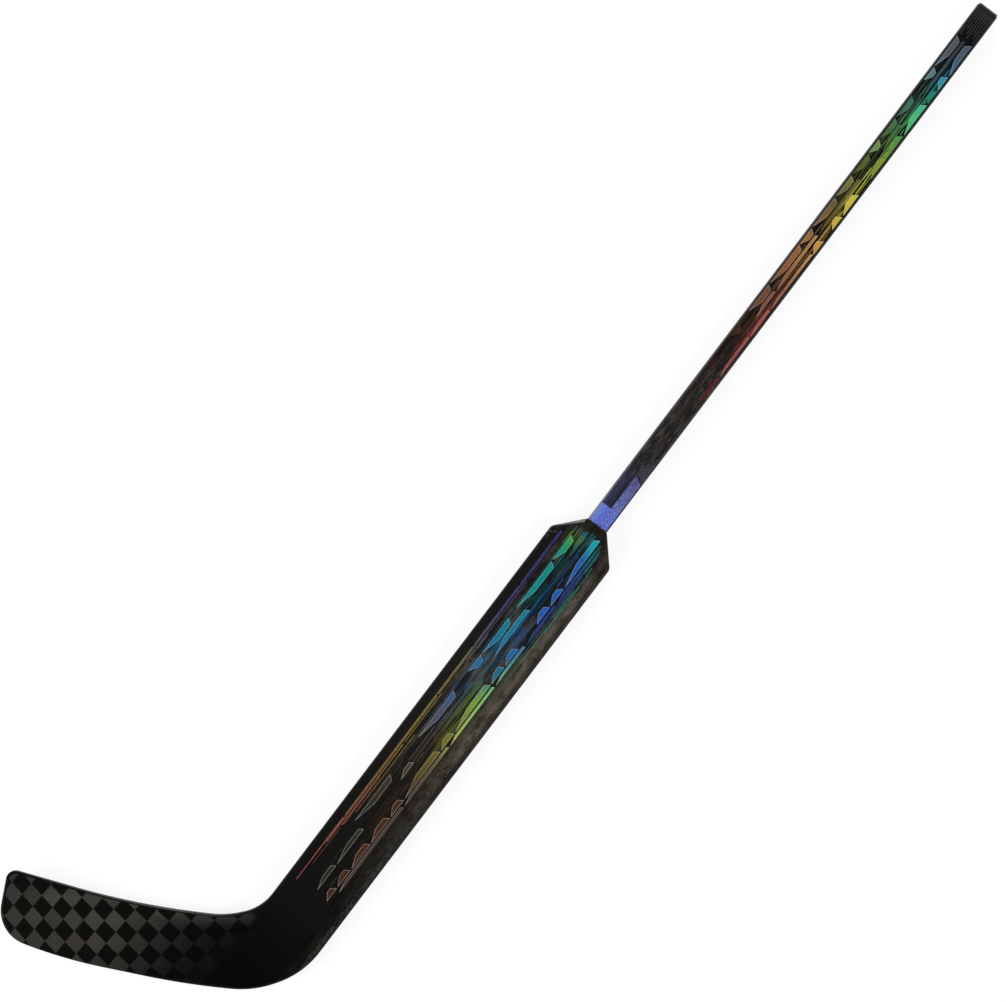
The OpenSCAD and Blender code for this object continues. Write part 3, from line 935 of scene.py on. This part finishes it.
def shaft_tube():
    """The tube and its tenon, with a bed for the film in its front and back."""
    def outer(cut=0, notch=0):
        return rounded_rect(SHAFT_W, SHAFT_T, SHAFT_R - cut, cut, (SHAFT_FILM_HIGH.y, notch))

    def bore(grow=0):
        cut = TUBE_WALL - grow
        return rounded_rect(SHAFT_W, SHAFT_T, SHAFT_R - cut, cut)

    film_low, film_high = SHAFT_FILM_LOW.x, SHAFT_FILM_HIGH.x
    bm = bmesh.new()
    loft(bm, [
        (TENON_X, bore()), (TENON_X, outer(TENON_STEP + END_BEVEL)),
        (TENON_X + END_BEVEL, outer(TENON_STEP)), (NECK_X, outer(TENON_STEP)),
        (NECK_X, outer()), (film_low, outer()), (film_low, outer(notch=FILM_T)),
        (film_high, outer(notch=FILM_T)), (film_high, outer()),
        (BUTT_X - END_BEVEL, outer()), (BUTT_X, outer(END_BEVEL)),
        (BUTT_X, bore(END_BEVEL)), (BUTT_X - END_BEVEL, bore()),
    ], closed=True)
    make_piece("shaft_shell", bm, SHAFT_LAMINATE, ["shaft_tube"])


def neck_bead():
    """A concave fillet of adhesive from the paddle's end face onto the shaft."""
    thin_w, thin_t, thin_r = SHAFT_W + 0.1 * MM, SHAFT_T + 0.1 * MM, 1.2 * MM
    foot_w, foot_t = BEAD_HIGH.y - BEAD_LOW.y, BEAD_HIGH.z - BEAD_LOW.z
    shaft = rounded_rect(SHAFT_W, SHAFT_T, SHAFT_R)
    sections = [(NECK_X, shaft)]
    for a in quarter_turn(8):
        left = 1 - sin(a)
        sections.append((NECK_X + (BEAD_X - NECK_X) * (1 - cos(a)), rounded_rect(
            thin_w + (foot_w - thin_w) * left, thin_t + (foot_t - thin_t) * left,
            thin_r + (SHAFT_R - thin_r) * (1 - left),
        )))
    bm = bmesh.new()
    loft(bm, sections + [(BEAD_X, shaft)], closed=True)
    make_piece("neck_fillet", bm, adhesive(), ["neck_bead"])


def end_plug():
    """A moulded plug: a flange with a soft rim, and a finned hollow spigot."""
    flange_w = PLUG_HIGH.y - PLUG_LOW.y
    flange_t = PLUG_HIGH.z - PLUG_LOW.z
    inset = (SHAFT_W - flange_w) / 2
    bore_w = SHAFT_W - 2 * (TUBE_WALL + BOND)
    bore_t = SHAFT_T - 2 * (TUBE_WALL + BOND)
    bore_r = SHAFT_R - TUBE_WALL
    rim, fin_chamfer = 0.7 * MM, 0.25 * MM

    def flange(cut):
        return rounded_rect(flange_w, flange_t, SHAFT_R - inset - cut / 2, cut)

    def fin(cut=0.0):
        return rounded_rect(bore_w, bore_t, bore_r, cut)

    def cavity(cut):
        return rounded_rect(bore_w, bore_t, bore_r / 2, FIN_H + SPIGOT_WALL + cut)

    sections = [
        (PLUG_HIGH.x - rim * (1 - cos(a)), flange(rim * (1 - sin(a))))
        for a in quarter_turn(6)
    ]
    sections += [(BUTT_X, flange(0)), (BUTT_X, fin(FIN_H))]
    pitch = (BUTT_X - PLUG_LOW.x - FIN_START) / FIN_COUNT
    for k in range(FIN_COUNT):
        front = BUTT_X - FIN_START - k * pitch
        back = front - FIN_T
        sections += [
            (front, fin(FIN_H)), (front, fin(fin_chamfer)), (front - fin_chamfer, fin()),
            (back + 2 * fin_chamfer, fin()), (back, fin(3 * fin_chamfer)), (back, fin(FIN_H)),
        ]
    sections += [
        (PLUG_LOW.x + 1.5 * MM, fin(FIN_H)), (PLUG_LOW.x, fin(FIN_H + 0.5 * MM)),
        (PLUG_LOW.x, cavity(0)), (BUTT_X - PLUG_FLOOR, cavity(0.4 * MM)),
    ]
    bm = bmesh.new()
    loft(bm, sections)
    make_piece("plug_moulding", bm, rubber(), ["end_plug"], "end_plug")


shaft_tube()
neck_bead()
end_plug()

# ---- Printed bars

BAR_RISE = 0.06 * MM        # height of a bar over its film
WIDE_RIM = 0.5 * MM, 1.0    # width and brightness of the rim round a wide bar
THIN_RIM = 0.08 * MM, 0.3   # the same round a thin line


def inset_loop(points, width):
    """A convex outline moved inwards."""
    count = len(points)
    area = sum(
        points[i - 1][0] * points[i][1] - points[i][0] * points[i - 1][1] for i in range(count)
    )
    side = copysign(width, area)
    moved = []
    for i in range(count):
        before = (points[i] - points[i - 1]).normalized()
        after = (points[(i + 1) % count] - points[i]).normalized()
        moved.append(crossing(
            points[i] + left_of(before) * side, before, points[i] + left_of(after) * side, after
        ))
    return moved


def add_bar(bm, points, tone, z, up, rim_w, rim_tone):
    """A low plateau on a face: a sloping rim, which may be bright, round a flat top."""
    rim, strength = bm.faces.layers.float["rim"], bm.faces.layers.float["tone"]
    crown = inset_loop(points, rim_w)
    base, brow, crown = (
        add_loop(bm, [(*p, z + up * height) for p in loop])
        for loop, height in ((points, 0), (points, BAR_RISE / 3), (crown, BAR_RISE))
    )
    slope = bridge(bm, brow, crown)
    for face in [bm.faces.new(base), bm.faces.new(crown), *bridge(bm, base, brow), *slope]:
        face[strength] = tone
    for face in slope:
        face[rim] = rim_tone


def print_piece(name, bars, lines, z, up, material, slot):
    """bars and lines hold (corners, tone) pairs; only full tone gets the wide rim."""
    bm = bmesh.new()
    bm.faces.layers.float.new("rim")
    bm.faces.layers.float.new("tone")
    for points, tone in bars:
        add_bar(bm, points, tone, z, up, *(WIDE_RIM if tone > 0.9 else THIN_RIM))
    for points, tone in lines:
        add_bar(bm, points, tone, z, up, *THIN_RIM)
    make_piece(name, bm, material)


def millimetres(*values):
    return [value * MM for value in values]


def corners_of(*pairs):
    return [Vector(p) for p in pairs]


def streak(tail, head, y_low, y_high, keel):
    """A streak with a leaning head and a long tapered tail. keel tells which of its sides
    is the long one: 1 the upper, -1 the lower."""
    height = y_high - y_low
    nose, taper = 0.7 * height, min(0.45 * (head - tail), 5 * height)
    long_y, short_y = (y_high, y_low) if keel > 0 else (y_low, y_high)
    return corners_of(
        (tail, long_y), (tail + taper, short_y), (head - nose, short_y), (head, long_y)
    )


def lane(low, high, keel, x_low, x_high, lengths, tones, fill, gap, chance):
    """A row of streaks of random length and tone, with some left out. Its sides,
    low and high, are in millimetres."""
    made, head = [], x_high
    while head - x_low > 0.6 * min(lengths):
        length = min(chance.choice(lengths), head - x_low)
        if chance.random() < fill:
            bar = streak(head - length, head, low * MM, high * MM, keel)
            made.append((bar, chance.choice(tones)))
            head -= length + gap
        else:
            head -= length / 2
    return made


def spans_clear_of(bars, y, half_t, x_low, x_high, gap):
    """Stretches of a thin line at y that keep a gap to every bar."""
    blocked = []
    for points, _ in bars:
        inside = [p[0] for p in points if abs(p[1] - y) < half_t + gap]
        for a, b in zip(points, points[1:] + points[:1]):
            for level in (y - half_t - gap, y, y + half_t + gap):
                if min(a[1], b[1]) < level < max(a[1], b[1]):
                    inside.append(a[0] + (b[0] - a[0]) * (level - a[1]) / (b[1] - a[1]))
        if inside:
            blocked.append((min(inside) - gap, max(inside) + gap))
    spans, at = [], x_low
    for low, high in sorted(blocked) + [(x_high, x_high)]:
        if low > at:
            spans.append((at, low))
        at = max(at, high)
    return spans


def line_bar(x_low, x_high, y, thickness):
    half, lean = thickness / 2, 0.7 * thickness
    return corners_of(
        (x_low, y - half), (x_high, y - half), (x_high + lean, y + half), (x_low + lean, y + half)
    )


def thin_line(y, x_low, x_high, thickness, fill, longest, tones, bars, gap, chance):
    """A thin line, broken at random and where a bar is in the way. y, thickness and longest
    are in millimetres."""
    y, thickness, longest = millimetres(y, thickness, longest)
    made = []
    for low, high in spans_clear_of(bars, y, thickness / 2, x_low, x_high, gap):
        while high - low > 6 * thickness:
            length = min(high - low, chance.uniform(0.3, 1.0) * longest)
            if high - low - length < 6 * thickness:
                length = high - low
            if chance.random() < fill:
                line = line_bar(low, low + length - gap, y, thickness)
                made.append((line, chance.choice(tones)))
            low += length + gap
    return made


def paddle_print():
    """(bars, thin lines) of the paddle's print."""
    chance = random.Random(7847)
    x_low, x_high = PADDLE_FILM_LOW.x + 3 * MM, PADDLE_FILM_HIGH.x - 2 * MM
    gap = 1.5 * MM
    tip, side = FILM_OUTLINE[3:5]
    slope = (tip.x - side.x) / (tip.y - side.y)

    def end_at(y):
        """How far up the film the print may run at y, in millimetres."""
        return min(x_high, tip.x + (abs(y) * MM - tip.y) * slope - gap)

    # (lower side, upper side, keel, lengths, tones, share drawn) of each lane of streaks
    short, long = millimetres(26, 38, 54, 72), millimetres(60, 90, 130)
    bright, mixed, dim = (1.0,), (1.0, 1.0, 0.12, 0.4), (0.1, 0.2, 0.35)
    bars = []
    for low, high, keel, lengths, tones, fill in (
        (11.6, 18.2, 1, short, bright, 0.66), (3.2, 8.6, -1, short, mixed, 0.7),
        (-4.4, 0.0, 1, short, dim, 0.8), (-14.2, -7.6, -1, short, bright, 0.72),
        (-19.4, -16.4, -1, long, (1.0, 0.4), 0.7),
    ):
        end = min(end_at(low), end_at(high))
        bars += lane(low, high, keel, x_low, end, lengths, tones, fill, gap, chance)
    chance = random.Random(108)
    tones = (0.9, 0.6, 0.3)
    lines = []
    for y in (10.1, 1.6, -6.0):
        lines += thin_line(y, x_low, end_at(y), 0.75, 0.75, 80, tones, bars, gap, chance)
    # (height, start, end, share drawn, longest) of the lines beside the streaks
    for y, start, end, fill, longest in (
        (31.7, -528, 9, 0.95, 280), (30.1, -470, 4, 0.95, 280), (27.4, -500, -40, 0.7, 130),
        (25.8, -440, -150, 0.7, 110), (23.2, -420, -90, 0.6, 120), (20.6, -400, 12, 0.5, 90),
        (-21.4, -500, 12, 0.8, 160), (-22.9, -390, 8, 0.7, 150), (-24.9, -300, 4, 0.7, 90),
        (-26.2, -170, -10, 0.8, 80), (-27.4, -110, -20, 0.6, 60),
    ):
        end = min(end * MM, end_at(y))
        lines += thin_line(y, start * MM, end, 0.8, fill, longest,
                           (0.95, 0.8) if fill > 0.9 else tones, [], gap, chance)
    return bars, lines


def shaft_print():
    """(bars, thin lines) of the shaft's print."""
    chance = random.Random(4)
    gap = 1.2 * MM
    start, full, wide, end = NECK_X + 0.15, NECK_X + 0.30, NECK_X + 0.42, 0.770
    short, long = millimetres(20, 32, 46), millimetres(40, 60, 84)
    bright, mixed, dim = (1.0, 1.0, 0.5), (1.0, 1.0, 0.15, 0.4), (0.08, 0.16, 0.3)
    # (lower side, upper side, keel, start, end, lengths, tones, share drawn) of each lane
    bars = []
    for row in (
        (4.4, 10.8, 1, start + 0.05, full, short, dim, 0.5),
        (4.4, 10.8, 1, full, wide, long, bright, 0.95),
        (4.4, 10.8, 1, wide, end, short, bright, 0.85),
        (-1.2, 2.4, -1, full - 0.03, end, long, mixed, 0.7),
        (-5.6, -3.4, 1, full - 0.05, wide, long, mixed, 0.8),
        (-9.8, -6.8, -1, start + 0.04, wide, long, (1.0, 0.5), 0.85),
        (-10.6, -3.8, -1, wide, end, short, (1.0, 1.0, 1.0, 0.5), 0.95),
    ):
        bars += lane(*row, gap, chance)
    # (height, start, end, thickness, share drawn, longest) of each thin line
    lines = []
    for row in (
        (3.4, start, end, 0.75, 0.75, 60), (-2.5, start, end, 0.75, 0.75, 60),
        (-6.2, start, wide, 0.6, 0.8, 50), (-10.8, start, wide, 0.6, 0.8, 50),
    ):
        lines += thin_line(*row, (0.9, 0.6, 0.3), bars, gap, chance)
    # Fine lines run out under the plug's flange.
    for k, y in enumerate(millimetres(-9.6, -6.4, -3.2, 0, 3.2, 6.4, 9.6)):
        line = line_bar(end + (3 + 5 * (k % 3)) * MM, SHAFT_FILM_HIGH.x - 2 * MM, y, 0.75 * MM)
        lines.append((line, 0.5))
    # Speed lines behind the blue patch's slanted end.
    for k, y in enumerate(millimetres(-10.4, -7.6, -4.8, -2.0)):
        begin = PATCH_SLOPE * y + (PATCH_TAIL + 3) * MM
        lines.append((line_bar(begin, begin + (34 - 7 * k) * MM, y, 1.5 * MM), 0.4))
    return bars, lines


for side, up, paddle_z, shaft_z in SIDES:
    print_piece(f"paddle_{side}_bars", *paddle_print(), paddle_z, up, PADDLE_FOIL, "paddle_film")
    print_piece(f"shaft_{side}_bars", *shaft_print(), shaft_z, up, SHAFT_FOIL, "shaft_film")

# ---- Finish of the inner CAD nodes

for material, *nodes in (
    (BARE_LAMINATE, "paddle_spine", "blade_bridge"),
    (CORE_FOAM, "paddle_core_centre", "paddle_core_leading", "paddle_core_trailing",
     "blade_core_upper", "blade_core_lower"),
    (HEEL_FOAM, "heel_block"),
):
    for node in nodes:
        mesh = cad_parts[node].data
        mesh.materials.clear()
        mesh.materials.append(material)

# ---- Camera, floor and lights

CAMERA_TURN = radians(-52.83)  # the shaft points up and to the right
CAMERA_LENS = 300              # millimetres; a long lens, so nearly no perspective
CAMERA_SENSOR = 36
VIEW_WIDTH = 1.2183            # width of the view at the stick's front
VIEW_CENTRE = Vector((-0.0117, 0.1090))

VIEW_RIGHT = heading(CAMERA_TURN)
VIEW_UP = left_of(VIEW_RIGHT)
FLOOR_GLOW = 0.84
FLOOR_TONE = 0.22


def make_camera():
    data = bpy.data.cameras.new("camera")
    data.lens, data.sensor_width = CAMERA_LENS, CAMERA_SENSOR
    data.clip_start, data.clip_end = 0.1, 100
    camera = link_object("camera", data)
    camera.location = (*VIEW_CENTRE, PADDLE_T + VIEW_WIDTH * CAMERA_LENS / CAMERA_SENSOR)
    camera.rotation_euler = (0, 0, CAMERA_TURN)
    bpy.context.scene.camera = camera


def make_floor():
    """A white floor that keeps a faint shadow. It glows only for rays from the camera and for
    mirror-like and clear paths."""
    half, z = 30, -0.3 * MM
    mesh = bpy.data.meshes.new("floor")
    mesh.from_pydata([(-half, -half, z), (half, -half, z), (half, half, z), (-half, half, z)],
                     [], [(0, 1, 2, 3)])
    g = Graph("floor")
    camera, glossy, clear = (
        g.value("LightPath", output=f"Is {ray} Ray")
        for ray in ("Camera", "Glossy", "Transmission")
    )
    g.set(Emission_Color=(1, 1, 1, 1),
          Emission_Strength=camera.at_least(glossy).at_least(clear) * FLOOR_GLOW)
    mesh.materials.append(g.finish((FLOOR_TONE,) * 3 + (1,), 1, 0))
    link_object("floor", mesh)


def make_world():
    """White where it is seen; it lights softly, more from the sides than from above."""
    world = bpy.data.worlds.new("world")
    bpy.context.scene.world = world
    world.use_nodes = True
    tree = world.node_tree
    place = Value(tree, "TexCoord", output="Generated")
    height = Value(tree, "SeparateXYZ", [place], 2)
    sky = Value(tree, "ValToRGB", [height])
    low, high = sky.socket.node.color_ramp.elements
    low.color, high.color = (0.42, 0.42, 0.43, 1), (0.10, 0.10, 0.105, 1)
    soft = tree.nodes["Background"]
    feed(tree, soft.inputs["Color"], sky)
    white = Value(tree, "Background", [(1, 1, 1, 1)])
    camera = Value(tree, "LightPath", output="Is Camera Ray")
    both = Value(tree, "MixShader", (camera, soft.outputs[0], white))
    feed(tree, tree.nodes["World Output"].inputs["Surface"], both)


def softbox(name, clock, elevation, distance, size, power):
    """A square lamp. clock is its bearing in the picture: 0 is up and 90 is right."""
    bearing, height = radians(clock), radians(elevation)
    flat = VIEW_UP * cos(bearing) + VIEW_RIGHT * sin(bearing)
    data = bpy.data.lights.new(name, "AREA")
    data.shape, data.size, data.energy = "SQUARE", size, power
    lamp = link_object(name, data)
    away = Vector((*(flat * cos(height)), sin(height)))
    lamp.location = Vector((0, 0.08, 0)) + away * distance
    lamp.rotation_euler = away.to_track_quat("Z", "Y").to_euler()


make_camera()
make_floor()
make_world()
softbox("key", 8, 11, 3.2, 1.1, 110)
softbox("fill_right", 115, 38, 3.4, 1.6, 64)
softbox("fill_left", 245, 34, 3.4, 1.6, 50)

bpy.context.scene.view_settings.view_transform = "Standard"
